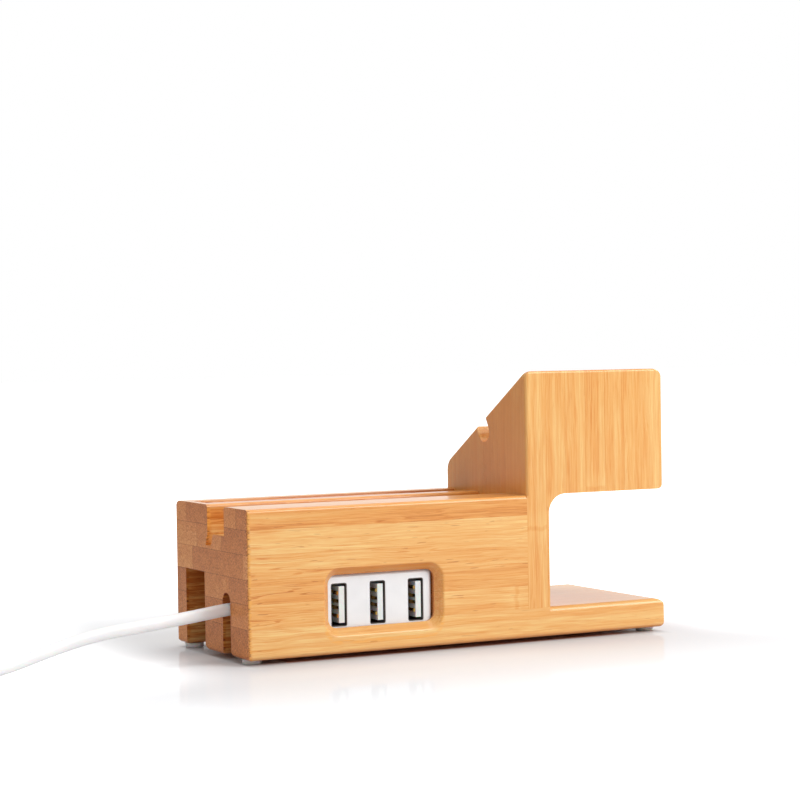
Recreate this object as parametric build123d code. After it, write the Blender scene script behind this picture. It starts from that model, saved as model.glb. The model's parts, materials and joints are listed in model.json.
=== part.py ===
from build123d import *

import os
from math import cos, hypot, pi, radians, sin, sqrt, tan

# Charging station organizer: a milled bamboo block on a base board, a stand with an arm beside it, a hub with three
# ports inside it, and the hub's supply cord.
# X runs along the length, Y away from the front, Z up. The origin is under the middle of the base board, where
# the pads stand. Millimetres and degrees.

# Base board and pads
board_length = 147.4
board_thickness = 9.3
board_end_round = 1.2
board_corner_round = 3.6
board_foot_round = 2.0
board_edge_round = 1.8
board_under_round = 1.6
pad_diameter = 6.0
pad_height = 1.5
pad_end_inset = 3.8
pad_near_inset = 6.8
pad_far_inset = 4.4

# Device block: boards glued on the base board, the top one planed thinner, then milled in one piece
block_length = 95.8
block_height = 35.6
block_edge_round = 1.2
block_end_round = 0.6
block_far_round = 3.0
layer_count = 5
top_layer_share = 0.84
lip_round = 1.0
foot_round = 2.2

# Wide groove along the near side, with a narrow leaning step in its floor
near_wall = 17.4
groove_width = 13.0
groove_depth = 8.9
step_width = 4.2
step_depth = 3.7
step_round = 1.0

# Leaning device slot, closed at the left end and closed by the stand at the right
device_lean = 23.2
slot_thickness = 8.6
slot_floor_wall = 3.1
slot_far_wall = 9.6
slot_end_wall = 2.5

# Channel for the cables under the slot, open below and at the left end, and the two holes up into the slot
channel_width = 15.0
channel_near_wall = 4.5
channel_far_wall = 7.8
channel_end_wall = 3.8
channel_layers = 2
drop_length = 13.0
drop_width = 8.0
drop_left_inset = 42.5
drop_right_inset = 10.8

# Arched slot for the supply cord, open below
arch_width = 5.8
arch_height = 19.0
arch_near_wall = 13.5

# Hub housing and the pocket for it
hub_left_inset = 25.4
hub_face_setback = 3.5
hub_wall = 1.5
hub_edge_round = 1.8
hub_gap = 0.3
cover_thickness = 5.05
cover_end_shelf = 6.0
cover_gap = 0.15

# Window in the near face: how far its outer edge stands past the hub's ends and top, and its sill over the
# hub's underside
window_left_reach = 0.6
window_right_reach = 2.1
window_top_reach = 2.15
window_sill = 0.3
window_chamfer = 2.3
window_corner_round = 5.2
window_edge_round = 1.0

# Ports
port_count = 3
port_pitch = 13.1
port_end_inset = 6.0
port_mouth_width = 4.7
port_mouth_height = 12.5
port_end_margin = 3.2
port_metal = 0.3
port_setback = 0.25
port_length = 15.8
tongue_thickness = 1.84
tongue_height = 11.1
tongue_side_gap = 0.4
tongue_setback = 0.35
tongue_root_depth = 5.3
contact_offsets = (-3.5, -1.0, 1.0, 3.5)
contact_width = 1.0
contact_metal = 0.25
contact_groove_depth = 0.9
contact_groove_setback = 0.3
contact_setback = 0.4
contact_inner_setback = 3.0
contact_tip = 0.15
contact_rise = 0.9
contact_fall = 1.1
contact_bulge = 0.3

# Circuit board and what is on it
circuit_thickness = 1.2
circuit_edge_gap = 0.5
chip_side = 5.0
chip_height = 1.0
capacitor_diameter = 3.6
capacitor_height = 4.2
capacitor_pitch = 4.4
inductor_side = 5.0
inductor_height = 2.6
part_row_drop = 4.6
part_clearance = 0.8
wire_diameter = 0.7
wire_pitch = 0.8
wire_count = 4
wire_stub = 0.9
wire_bend_radius = 0.5

# Screws, dowels and their holes
hole_gap = 0.1
hub_screw_diameter = 1.9
hub_screw_head_diameter = 3.4
hub_screw_head_height = 0.9
hub_screw_bite = 4.3
hub_boss_diameter = 4.4
cover_screw_diameter = 2.6
cover_screw_head_diameter = 5.0
cover_screw_length = 12.0
cover_screw_near_inset = 5.0
cover_screw_far_inset = 4.0
stand_screw_diameter = 3.6
stand_screw_head_diameter = 6.8
stand_screw_length = 26.0
stand_screw_insets = (18.0, 42.0)
screw_slot_share = 0.28
dowel_diameter = 6.0
dowel_length = 19.0
dowel_stand_depth = 5.0
dowel_insets = (9.0, 27.0)

# Stand: a post and an arm milled from one block, with a sloping face and a round recess in it
post_thickness = 8.0
stand_height = 75.2
stand_setback = 3.6
arm_setback = 0.2
arm_far_thickness = 8.6
arm_inner_round = 6.0
stand_slope = 30.5
stand_near_round = 0.8
stand_far_round = 5.0
stand_edge_round = 1.0
stand_corner_round = 2.4
arm_end_round = 1.0
arm_corner_round = 3.8
arm_under_round = 2.4
puck_diameter = 28.2
puck_depth = 7.0
puck_drop = 2.9
notch_width = 6.8
notch_depth = 7.2

# Supply cord with its strain relief, coil, tie and plug
cord_diameter = 3.8
relief_length = 14.4
relief_root_diameter = 5.4
relief_tip_diameter = 4.4
relief_groove_width = 0.9
relief_groove_depth = 0.35
relief_grooves = 5
cord_exit_height = 14.4
# Route points of the free cord: distance left of the left end, distance in from the near face, height of the
# centre line over the surface
cord_route = (
    (-11.0, 16.4, 15.9),
    (-3.0, 16.4, 15.9),
    (12.0, 16.6, 13.9),
    (27.0, 16.3, 12.3),
    (41.0, 16.5, 10.9),
    (55.0, 14.8, 7.9),
    (68.0, 11.6, 4.6),
    (80.0, 8.6, 2.75),
    (91.0, 7.4, 2.6),
    (99.0, 7.4, 2.6),
)
# The radius of an arc of the free cord is this share of the shorter run beside it, over the tangent of half
# the turn
cord_arc_share = 0.45
coil_mean_radius = 22.8
coil_layer_turns = 3.25
coil_turn_pitch = 5.2
coil_layer_pitch = 4.45
tie_thickness = 0.6
tie_width = 8.0
tie_gap = 0.1
tie_side_gap = 0.3
# Route points of the cord's end, from the end of the coil to the plug
tail_route = ((0, 0, 0), (-8.0, 0, 0), (-18.0, 1.4, -2.95), (-26.0, 1.4, -2.95))
plug_boot_length = 7.0
plug_boot_diameter = 5.6
plug_body_length = 19.0
plug_body_width = 15.6
plug_body_height = 8.2
plug_body_round = 2.0
plug_metal_length = 11.8
plug_metal_width = 12.0
plug_metal_height = 4.5
plug_metal = 0.3
plug_root_depth = 6.0
plug_insert_height = 2.0
plug_window_side = 2.0
plug_window_offset = 2.6
plug_window_setback = 4.6
plug_contact_length = 8.6
plug_contact_inner_length = 7.4

overrun = 1.0

# Sizes that follow: the hub holds its ports and circuit board, and the board's depth holds hub and channel
hub_length = 2 * port_end_inset + (port_count - 1) * port_pitch
hub_height = port_mouth_height + 2 * port_end_margin
hub_depth = 2 * hub_wall + port_length + circuit_thickness + capacitor_height + part_clearance
board_depth = (
    hub_face_setback + hub_depth + hub_gap + channel_near_wall + channel_width + channel_far_wall
)

# Places that follow
left = -board_length / 2
right = board_length / 2
near = -board_depth / 2
far = board_depth / 2
under = pad_height
deck = under + board_thickness
block_right = left + block_length
block_top = deck + block_height
layer_thickness = block_height / (layer_count - 1 + top_layer_share)
layer_planes = [deck + n * layer_thickness for n in range(layer_count)] + [block_top]
lean = radians(device_lean)

groove_near = near + near_wall
groove_far = groove_near + groove_width
groove_floor = block_top - groove_depth
slot_mouth = slot_thickness / cos(lean)
slot_mouth_far = far - slot_far_wall
slot_mouth_near = slot_mouth_far - slot_mouth

channel_far = far - channel_far_wall
channel_near = channel_far - channel_width
channel_top = layer_planes[channel_layers]
drop_middles = (left + drop_left_inset, block_right - drop_right_inset)
slot_floor = channel_top + slot_floor_wall
slot_depth = (block_top - slot_floor - slot_thickness / 2 * sin(lean)) / cos(lean)
arch_middle = near + arch_near_wall + arch_width / 2

hub_left = left + hub_left_inset
hub_right = hub_left + hub_length
hub_near = near + hub_face_setback
hub_far = hub_near + hub_depth
hub_bottom = under + cover_thickness
hub_top = hub_bottom + hub_height
hub_middle_z = (hub_bottom + hub_top) / 2
pocket_left = hub_left - hub_gap
pocket_right = hub_right + hub_gap
pocket_near = hub_near - hub_gap
pocket_far = hub_far + hub_gap
pocket_top = hub_top + hub_gap
cover_left = pocket_left - cover_end_shelf
cover_right = pocket_right + cover_end_shelf

port_middles = [hub_left + port_end_inset + n * port_pitch for n in range(port_count)]
port_near = hub_near + hub_wall
tongue_near = hub_near + tongue_setback
circuit_near = port_near + port_length
circuit_far = circuit_near + circuit_thickness
hub_screw_places = [(a + b) / 2 for a, b in zip(port_middles, port_middles[1:])]
hub_screw_length = hub_far - circuit_near + hub_screw_bite

stand_far = far - stand_setback
stand_top = deck + stand_height
arm_right = right - arm_setback
slope = radians(stand_slope)
stand_fall = (stand_far - near) * tan(slope)
arm_under = stand_top - stand_fall - arm_far_thickness
puck_x = (block_right + arm_right) / 2
puck_y = (near + stand_far) / 2 + puck_drop * cos(slope)
puck_z = stand_top - (puck_y - near) * tan(slope)

cord_radius = cord_diameter / 2


def box_between(x0, x1, y0, y1, z0, z1):
    middle = Pos((x0 + x1) / 2, (y0 + y1) / 2, (z0 + z1) / 2)
    return middle * Box(x1 - x0, y1 - y0, z1 - z0)


def prism_along_x(face, x0, x1):
    return extrude(Plane.YZ.offset(x0) * face, amount=x1 - x0)


def rod(start, direction, diameter, length):
    return extrude(Plane(origin=start, z_dir=direction) * Circle(diameter / 2), amount=length)


def corners_near(face, points, reach):
    """The corners of a face that lie within reach of the points."""
    return [v for v in face.vertices() if any(hypot(v.X - a, v.Y - b) < reach for a, b in points)]


def round_over(middle, side_1, side_2, radius, length):
    """What rounding takes off an edge, from its middle, the two ways out of the solid there and its length."""
    place = Plane(origin=middle, x_dir=side_1, z_dir=Vector(*side_1).cross(Vector(*side_2)))
    square = Pos(-radius, -radius) * Rectangle(
        radius + overrun, radius + overrun, align=(Align.MIN, Align.MIN)
    )
    strip = square - Pos(-radius, -radius) * Circle(radius)
    return extrude(place * strip, amount=length / 2 + overrun, both=True)


def groove_face(points, top, lip):
    """The section of a groove with its mouth at the first and last points, its lips rounded."""
    (first_y, _), (last_y, _) = points[0], points[-1]
    shoulders = [
        (last_y + 2 * lip, top),
        (last_y + 2 * lip, top + overrun),
        (first_y - 2 * lip, top + overrun),
        (first_y - 2 * lip, top),
    ]
    face = make_face(Polyline(*points, *shoulders, close=True))
    return fillet(corners_near(face, [points[0], points[-1]], lip / 2), radius=lip)


def countersunk_screw(head_centre, direction, diameter, head_diameter, length):
    """A flat-headed screw with one slot, whose head's flat face lies at head_centre."""
    head_height = (head_diameter - diameter) / 2
    place = Plane(origin=head_centre, z_dir=direction)
    profile = Polyline(
        (0, 0),
        (head_diameter / 2, 0),
        (diameter / 2, head_height),
        (diameter / 2, length - diameter),
        (0, length),
        close=True,
    )
    screw = revolve(Plane.XZ * make_face(profile), Axis.Z)
    slot_width = screw_slot_share * diameter
    screw -= Pos(0, 0, -slot_width / 2) * Box(head_diameter, slot_width, 3 * slot_width)
    return place * screw


def countersunk_hole(head_centre, direction, diameter, head_diameter, length):
    """The space that such a screw needs."""
    wide, head_wide = diameter / 2 + hole_gap, head_diameter / 2 + hole_gap
    place = Plane(origin=head_centre, z_dir=direction)
    profile = Polyline(
        (0, -overrun),
        (head_wide, -overrun),
        (head_wide, 0),
        (wide, head_wide - wide),
        (wide, length + hole_gap),
        (0, length + hole_gap),
        close=True,
    )
    return place * revolve(Plane.XZ * make_face(profile), Axis.Z)


# Screws that the base board and the stand share


def cover_screw_centres():
    shelf = cover_end_shelf / 2
    rows = (pocket_near + cover_screw_near_inset, pocket_far - cover_screw_far_inset)
    return [(x, y, under) for x in (cover_left + shelf, cover_right - shelf) for y in rows]


def stand_screw_centres():
    return [(block_right + post_thickness / 2, near + y, under) for y in stand_screw_insets]


def cover_screw_holes():
    return [
        countersunk_hole(c, (0, 0, 1), cover_screw_diameter, cover_screw_head_diameter, cover_screw_length)
        for c in cover_screw_centres()
    ]


def stand_screw_holes():
    return [
        countersunk_hole(c, (0, 0, 1), stand_screw_diameter, stand_screw_head_diameter, stand_screw_length)
        for c in stand_screw_centres()
    ]


def dowel_rods(gap):
    middle_z = deck + 1.5 * layer_thickness
    start_x = block_right + dowel_stand_depth + gap
    wide, long = dowel_diameter + 2 * gap, dowel_length + 2 * gap
    return [rod((start_x, near + y, middle_z), (-1, 0, 0), wide, long) for y in dowel_insets]


# Milled block


def rounded_blank():
    """Base board and device block as one glued blank, its outer edges rounded."""
    board = box_between(left, right, near, far, under, deck)
    upright = board.edges().filter_by(Axis.Z).sort_by(Axis.X)[-2:]
    board = fillet(upright, radius=board_end_round)
    board = fillet(board.faces().sort_by(Axis.Z)[0].edges(), radius=board_under_round)
    tail_left = block_right + post_thickness
    tail_middle, tail_length = (tail_left + right) / 2, right - tail_left
    for y, way in ((near, -1), (far, 1)):
        board -= round_over(
            (tail_middle + overrun / 2, y, deck), (0, way, 0), (0, 0, 1), board_edge_round,
            tail_length - overrun,
        )
    for z, way, radius in ((deck, 1, board_corner_round), (under, -1, board_foot_round)):
        board -= round_over((right, 0, z), (1, 0, 0), (0, 0, way), radius, board_depth)
    block = box_between(left, block_right, near, far, deck, block_top)
    far_top = block.edges().filter_by(Axis.X).sort_by(lambda e: e.center().Y + e.center().Z)[-1]
    block = fillet(far_top, radius=block_far_round)
    near_top = block.edges().filter_by(Axis.X).sort_by(lambda e: e.center().Y - e.center().Z)[0]
    block = fillet(near_top, radius=block_edge_round)
    blank = board + block
    for y, way in ((near, -1), (far, 1)):
        blank -= round_over(
            (left, y, (under + block_top) / 2), (-1, 0, 0), (0, way, 0), block_end_round,
            block_top - under,
        )
    return blank


def foot_cuts():
    """Rounding of the lower edges beside the slot for the cord and the channel for the cables."""
    arch = (arch_middle - arch_width / 2, arch_middle + arch_width / 2, pocket_left)
    channel = (channel_near, channel_far, block_right - channel_end_wall)
    cuts = []
    for low, high, end in (arch, channel):
        middle, length = (left + end) / 2, end - left
        for y, way in ((low, 1), (high, -1)):
            cuts.append(round_over((middle, y, under), (0, way, 0), (0, 0, -1), foot_round, length))
    return cuts


def groove_cut():
    shift = step_depth * tan(lean)
    step_near = groove_far - step_width
    points = [
        (groove_near, block_top),
        (groove_near, groove_floor),
        (step_near, groove_floor),
        (step_near + shift, groove_floor - step_depth),
        (groove_far + shift, groove_floor - step_depth),
        (groove_far, groove_floor),
        (groove_far, block_top),
    ]
    face = groove_face(points, block_top, lip_round)
    face = fillet(corners_near(face, [points[2]], step_round / 2), radius=step_round)
    return prism_along_x(face, left - overrun, block_right + overrun)


def slot_cut():
    down = (slot_depth * sin(lean), -slot_depth * cos(lean))
    across = (slot_thickness / 2 * cos(lean), slot_thickness / 2 * sin(lean))
    mouth_middle = (slot_mouth_near + slot_mouth_far) / 2
    floor_y, floor_z = mouth_middle + down[0], block_top + down[1]
    points = [
        (slot_mouth_near, block_top),
        (floor_y - across[0], floor_z - across[1]),
        (floor_y + across[0], floor_z + across[1]),
        (slot_mouth_far, block_top),
    ]
    face = groove_face(points, block_top, lip_round)
    return prism_along_x(face, left + slot_end_wall, block_right + overrun)


def drop_cuts():
    """Round-ended holes from the channel up into the slot, as far as the slot's near side reaches over them."""
    near_edge = channel_far - drop_width
    top = block_top - (near_edge - slot_mouth_near) / tan(lean)
    base = channel_top - overrun
    face = SlotOverall(drop_length, drop_width)
    return [
        extrude(Pos(x, channel_far - drop_width / 2, base) * face, amount=top - base)
        for x in drop_middles
    ]


def arch_cut():
    radius = arch_width / 2
    straight = box_between(
        left - overrun, pocket_left + overrun, arch_middle - radius, arch_middle + radius,
        under - overrun, under + arch_height - radius,
    )
    crown = rod(
        (left - overrun, arch_middle, under + arch_height - radius), (1, 0, 0), arch_width,
        hub_left_inset - hub_gap + 2 * overrun,
    )
    return straight + crown


def window_cut():
    low_x, high_x = hub_left - window_left_reach, hub_right + window_right_reach
    low_z, high_z = hub_bottom + window_sill, hub_top + window_top_reach
    window_length, window_height = high_x - low_x, high_z - low_z
    outline = RectangleRounded(window_length, window_height, window_corner_round)
    inner = RectangleRounded(
        window_length - 2 * window_chamfer,
        window_height - 2 * window_chamfer,
        window_corner_round - window_chamfer,
    )
    middle = ((low_x + high_x) / 2, near, (low_z + high_z) / 2)
    place = Plane(origin=middle, x_dir=(1, 0, 0), z_dir=(0, 1, 0))
    sloped = extrude(place * outline, amount=window_chamfer, taper=45)
    through = extrude(place * inner, amount=pocket_near - near + overrun)
    return sloped + through


def milled_blank():
    blank = rounded_blank() - window_cut()
    window_edges = blank.faces().sort_by(Axis.Y)[0].inner_wires()[0].edges()
    blank = fillet(window_edges, radius=window_edge_round)
    blank -= groove_cut()
    blank -= slot_cut()
    channel = box_between(
        left - overrun, block_right - channel_end_wall, channel_near, channel_far,
        under - overrun, channel_top,
    )
    pocket = box_between(
        pocket_left, pocket_right, pocket_near, pocket_far, under - overrun, pocket_top
    )
    shelf = box_between(
        cover_left, cover_right, pocket_near, pocket_far, under - overrun, hub_bottom
    )
    for cut in (channel, arch_cut(), pocket, shelf, *drop_cuts(), *foot_cuts()):
        blank -= cut
    for cut in (*cover_screw_holes(), *stand_screw_holes(), *dowel_rods(hole_gap)):
        blank -= cut
    return blank


def wood_nodes():
    """The milled blank cut at its glue lines into the boards it is glued from."""
    blank = milled_blank()
    nodes = {"base_board": blank & slab(under - overrun, deck)}
    for n in range(layer_count - 1):
        nodes[f"block_layer_{n + 1}"] = blank & slab(layer_planes[n], layer_planes[n + 1])
    top = blank & slab(layer_planes[-2], block_top + overrun)
    near_strip, far_frame = top.solids().sort_by(Axis.Y)
    nodes["block_top_near"] = near_strip
    nodes["block_top_far"] = far_frame
    return nodes


def slab(z0, z1):
    return box_between(
        left - overrun, right + overrun, near - overrun, far + overrun, z0, z1
    )


# Stand


def watch_stand():
    points = [
        (near, deck),
        (near, stand_top),
        (stand_far, stand_top - stand_fall),
        (stand_far, deck),
    ]
    face = make_face(Polyline(*points, close=True))
    face = fillet(corners_near(face, [points[1]], stand_near_round), radius=stand_near_round)
    face = fillet(corners_near(face, [points[2]], stand_near_round), radius=stand_far_round)
    stand = prism_along_x(face, block_right, arm_right)
    stand = fillet(stand.faces().sort_by(Axis.X)[-1].edges(), radius=arm_end_round)
    beside_block = box_between(
        block_right - overrun, arm_right + overrun, near - overrun, far + overrun,
        deck - overrun, block_top,
    )
    upper, lower = stand - beside_block, stand & beside_block
    left_edges = upper.faces().sort_by(Axis.X)[0].edges().sort_by(lambda e: e.center().Z)[1:]
    stand = fillet(left_edges, radius=stand_edge_round) + lower
    peak = stand.bounding_box().max.Z
    middle, length = (near + stand_far) / 2, stand_far - near
    up, down, left_way, right_way = (0, 0, 1), (0, 0, -1), (-1, 0, 0), (1, 0, 0)
    stand -= round_over((block_right, middle, peak), left_way, up, stand_corner_round, length)
    stand -= round_over((arm_right, middle, peak), right_way, up, arm_corner_round, length)
    stand -= strap_cut()
    stand -= round_over((arm_right, middle, arm_under), right_way, down, arm_under_round, length)
    stand -= puck_cut()
    for cut in (*stand_screw_holes(), *dowel_rods(hole_gap)):
        stand -= cut
    return stand


def strap_cut():
    """The open space under the arm, its corner at the post rounded."""
    corner = (block_right + post_thickness, arm_under)
    outline = [
        (corner[0], deck - overrun),
        corner,
        (arm_right + overrun, arm_under),
        (arm_right + overrun, deck - overrun),
    ]
    face = make_face(Polyline(*outline, close=True))
    face = fillet(corners_near(face, [corner], arm_inner_round / 2), radius=arm_inner_round)
    place = Plane(origin=(0, near - overrun, 0), x_dir=(1, 0, 0), z_dir=(0, -1, 0))
    return extrude(place * face, amount=-(stand_far - near + 2 * overrun))


def puck_cut():
    """The round recess in the sloping face, square to the slope, and the cable notch to the left of it."""
    slope_plane = Plane(
        origin=(puck_x, puck_y, puck_z), x_dir=(1, 0, 0), z_dir=(0, sin(slope), cos(slope))
    )
    recess = Pos(0, 0, (overrun - puck_depth) / 2) * Cylinder(
        puck_diameter / 2, puck_depth + overrun
    )
    reach = puck_x - block_right + overrun
    radius = notch_width / 2
    notch = Pos(-reach / 2, 0, (overrun - notch_depth + radius) / 2) * Box(
        reach, notch_width, notch_depth - radius + overrun
    )
    notch += Pos(-reach / 2, 0, radius - notch_depth) * Rot(0, 90, 0) * Cylinder(radius, reach)
    return slope_plane * (recess + notch)


# Hub


def hub_shells():
    """The hub's housing in two shells that part behind the circuit board, the front one with the mouths."""
    outer = box_between(hub_left, hub_right, hub_near, hub_far, hub_bottom, hub_top)
    outer = fillet(outer.edges().filter_by(Axis.Y), radius=hub_edge_round)
    outer = fillet(outer.faces().sort_by(Axis.Y)[0].edges(), radius=hub_edge_round)
    inner = box_between(
        hub_left + hub_wall, hub_right - hub_wall, hub_near + hub_wall, hub_far - hub_wall,
        hub_bottom + hub_wall, hub_top - hub_wall,
    )
    front_half = box_between(
        hub_left - overrun, hub_right + overrun, hub_near - overrun, circuit_far,
        hub_bottom - overrun, hub_top + overrun,
    )
    hollow = outer - inner
    front, rear = hollow & front_half, hollow - front_half
    for x in hub_screw_places:
        boss_start = (x, port_near, hub_middle_z)
        front += rod(boss_start, (0, 1, 0), hub_boss_diameter, circuit_near - port_near)
        post_start = (x, circuit_far, hub_middle_z)
        rear += rod(post_start, (0, 1, 0), hub_boss_diameter, hub_far - hub_wall - circuit_far)
    for x in port_middles:
        hole = port_plane(x, hub_near - overrun) * port_outline(hole_gap / 2)
        front -= extrude(hole, amount=hub_wall + 2 * overrun)
    relief_hole = rod(
        (hub_left - overrun, arch_middle, under + cord_exit_height), (1, 0, 0),
        relief_tip_diameter + 2 * hole_gap, hub_wall + 2 * overrun,
    )
    front -= relief_hole
    for cut in hub_screw_cuts():
        front -= cut
        rear -= cut
    return front, rear


def hub_screw_cuts():
    wide, head_wide = hub_screw_diameter + 2 * hole_gap, hub_screw_head_diameter + 2 * hole_gap
    cuts = []
    for x in hub_screw_places:
        start = (x, hub_far + overrun, hub_middle_z)
        cuts.append(rod(start, (0, -1, 0), wide, hub_screw_length + overrun + hole_gap))
        cuts.append(rod(start, (0, -1, 0), head_wide, hub_screw_head_height + overrun))
    return cuts


def hub_screws():
    screws = []
    for x in hub_screw_places:
        start = (x, hub_far, hub_middle_z)
        screw = rod(start, (0, -1, 0), hub_screw_head_diameter, hub_screw_head_height)
        screw += rod(start, (0, -1, 0), hub_screw_diameter, hub_screw_length)
        slot = screw_slot_share * hub_screw_diameter
        for long_x, long_z in ((hub_screw_diameter, slot), (slot, hub_screw_diameter)):
            screw -= Pos(*start) * Box(long_x, hub_screw_head_height, long_z)
        screws.append(screw)
    return screws


def circuit_board():
    gap = hub_wall + circuit_edge_gap
    board = box_between(
        hub_left + gap, hub_right - gap, circuit_near, circuit_far, hub_bottom + gap, hub_top - gap
    )
    for cut in hub_screw_cuts():
        board -= cut
    return board


def port_plane(x, y):
    return Plane(origin=(x, y, hub_middle_z), x_dir=(1, 0, 0), z_dir=(0, 1, 0))


def port_outline(gap):
    """The outline of a port's metal shell, or of the hole that it fits in with a gap all round."""
    wide, high = port_mouth_width + 2 * port_metal, port_mouth_height + 2 * port_metal
    return RectangleRounded(wide + 2 * gap, high + 2 * gap, 2 * port_metal + gap)


def port_shell(x):
    """A port's metal shell: a rectangular tube, open at both ends, that reaches the hub's face."""
    opening = RectangleRounded(port_mouth_width, port_mouth_height, port_metal)
    shell_near = hub_near + port_setback
    return extrude(
        port_plane(x, shell_near) * (port_outline(0) - opening), amount=circuit_near - shell_near
    )


def tongue_left(x):
    return x + port_mouth_width / 2 - tongue_side_gap - tongue_thickness


def port_insulator(x):
    """The white body inside a shell: a block that fills its rear and a grooved tongue."""
    gap = hole_gap / 2
    half_wide, half_high = port_mouth_width / 2 - gap, port_mouth_height / 2 - gap
    root_near = circuit_near - tongue_root_depth
    root = box_between(
        x - half_wide, x + half_wide, root_near, circuit_near, hub_middle_z - half_high,
        hub_middle_z + half_high,
    )
    root = fillet(root.edges().filter_by(Axis.Y), radius=port_metal)
    low = tongue_left(x)
    tongue = box_between(
        low, low + tongue_thickness, tongue_near, root_near + overrun,
        hub_middle_z - tongue_height / 2, hub_middle_z + tongue_height / 2,
    )
    body = root + tongue
    groove_half = contact_width / 2 + hole_gap
    for offset in contact_offsets:
        z = hub_middle_z + offset
        body -= box_between(
            low - hole_gap, low + contact_groove_depth, tongue_near + contact_groove_setback,
            circuit_near + overrun, z - groove_half, z + groove_half,
        )
    return body


def port_contacts(x):
    """Four strips in the tongue's grooves, each with a sprung bend: the outer two near the tip, the inner
    two deeper in."""
    floor = tongue_left(x) + contact_groove_depth
    peak = tongue_left(x) - contact_bulge
    start = tongue_near + contact_setback
    contacts = []
    for offset in contact_offsets:
        inner = abs(offset) < max(contact_offsets)
        bend = tongue_near + contact_inner_setback if inner else start + contact_tip
        crest, end = bend + contact_rise, bend + contact_rise + contact_fall
        line = [
            (floor - contact_metal, start),
            (floor - contact_metal, bend),
            (peak, crest),
            (floor - contact_metal, end),
            (floor - contact_metal, circuit_near),
            (floor, circuit_near),
            (floor, end),
            (peak + contact_metal, crest),
            (floor, bend),
            (floor, start),
        ]
        face = make_face(Polyline(*line, close=True))
        face = fillet(corners_near(face, [line[2], line[7]], contact_metal / 2), radius=contact_metal)
        z = hub_middle_z + offset
        contacts.append(
            extrude(Plane.XY.offset(z - contact_width / 2) * face, amount=contact_width)
        )
    return contacts


def board_parts():
    """What stands on the rear of the circuit board: the controller, two capacitors and an inductor."""
    low_row = hub_middle_z - part_row_drop
    chip = box_between(
        port_middles[1] - chip_side / 2, port_middles[1] + chip_side / 2, circuit_far,
        circuit_far + chip_height, low_row - chip_side / 2, low_row + chip_side / 2,
    )
    capacitors = [
        rod((port_middles[0] + side * capacitor_pitch / 2, circuit_far, low_row), (0, 1, 0),
            capacitor_diameter, capacitor_height)
        for side in (-1, 1)
    ]
    inductor = box_between(
        port_middles[2] - inductor_side / 2, port_middles[2] + inductor_side / 2, circuit_far,
        circuit_far + inductor_height, low_row - inductor_side / 2, low_row + inductor_side / 2,
    )
    inductor = fillet(inductor.edges().filter_by(Axis.Y), radius=inductor_side / 6)
    return chip, capacitors, inductor


def supply_wires():
    """The cord's four cores inside the hub, from the strain relief round to the circuit board."""
    start_x = hub_left + hub_wall
    wires = []
    for n in range(wire_count):
        z = under + cord_exit_height + (n - (wire_count - 1) / 2) * wire_pitch
        path = FilletPolyline(
            (start_x, arch_middle, z),
            (start_x + wire_stub, arch_middle, z),
            (start_x + wire_stub, circuit_near, z),
            radius=wire_bend_radius,
        )
        section = Plane(origin=path @ 0, z_dir=path % 0) * Circle(wire_diameter / 2)
        wires.append(sweep(section, path=path))
    return wires


def cover_plate():
    plate = box_between(
        cover_left + cover_gap, cover_right - cover_gap, pocket_near + cover_gap,
        pocket_far - cover_gap, under, hub_bottom,
    )
    for cut in cover_screw_holes():
        plate -= cut
    return plate


def strain_relief():
    """A ribbed sleeve that tapers from the hub's side to the cord."""
    root = (hub_left, arch_middle, under + cord_exit_height)
    place = Plane(origin=root, z_dir=(-1, 0, 0))
    start, end = relief_root_diameter / 2, relief_tip_diameter / 2
    profile = Polyline((0, 0), (start, 0), (end, relief_length), (0, relief_length), close=True)
    sleeve = revolve(Plane.XZ * make_face(profile), Axis.Z)
    step = relief_length / (relief_grooves + 1)
    for n in range(1, relief_grooves + 1):
        radius = start + (end - start) * n / (relief_grooves + 1)
        ring = Cylinder(radius + overrun, relief_groove_width)
        ring -= Cylinder(radius - relief_groove_depth, relief_groove_width)
        sleeve -= Pos(0, 0, n * step) * ring
    sleeve += Pos(0, 0, -hub_wall / 2) * Cylinder(end, hub_wall)
    return place * sleeve


# Supply cord


def free_route():
    return [Vector(left - x, near + y, z) for x, y, z in cord_route]


def fillet_radii(points):
    radii = []
    for before, here, after in zip(points, points[1:], points[2:]):
        turn = (here - before).get_angle(after - here)
        shorter = min((here - before).length, (after - here).length)
        radii.append(cord_arc_share * shorter / tan(radians(turn) / 2))
    return radii


def cord_tube(name, points):
    """A tube of the cord's diameter along straight runs joined by tangent arcs."""
    radii = fillet_radii(points)
    path = FilletPolyline(*points, radius=radii)
    section = Plane(origin=path @ 0, z_dir=path % 0) * Circle(cord_radius)
    tube = sweep(section, path=path)
    share = tube.volume / (pi * cord_radius**2 * path.length)
    print(name, "length", round(path.length, 1), "volume share", round(share, 4))
    print(name, "radii", [round(r) for r in radii])
    return tube


def biarc(start, start_way, end, end_way):
    """Two arcs in space that join two points and leave and arrive along two directions."""
    gap, ways = end - start, start_way + end_way
    flat = 2 * (1 - start_way.dot(end_way))
    along = gap.dot(ways)
    reach = (sqrt(along**2 + flat * gap.dot(gap)) - along) / flat
    middle = (start + start_way * reach + end - end_way * reach) / 2
    first = TangentArc(start, middle, tangent=start_way)
    second = TangentArc(middle, end, tangent=first % 1)
    return [first, second]


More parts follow.
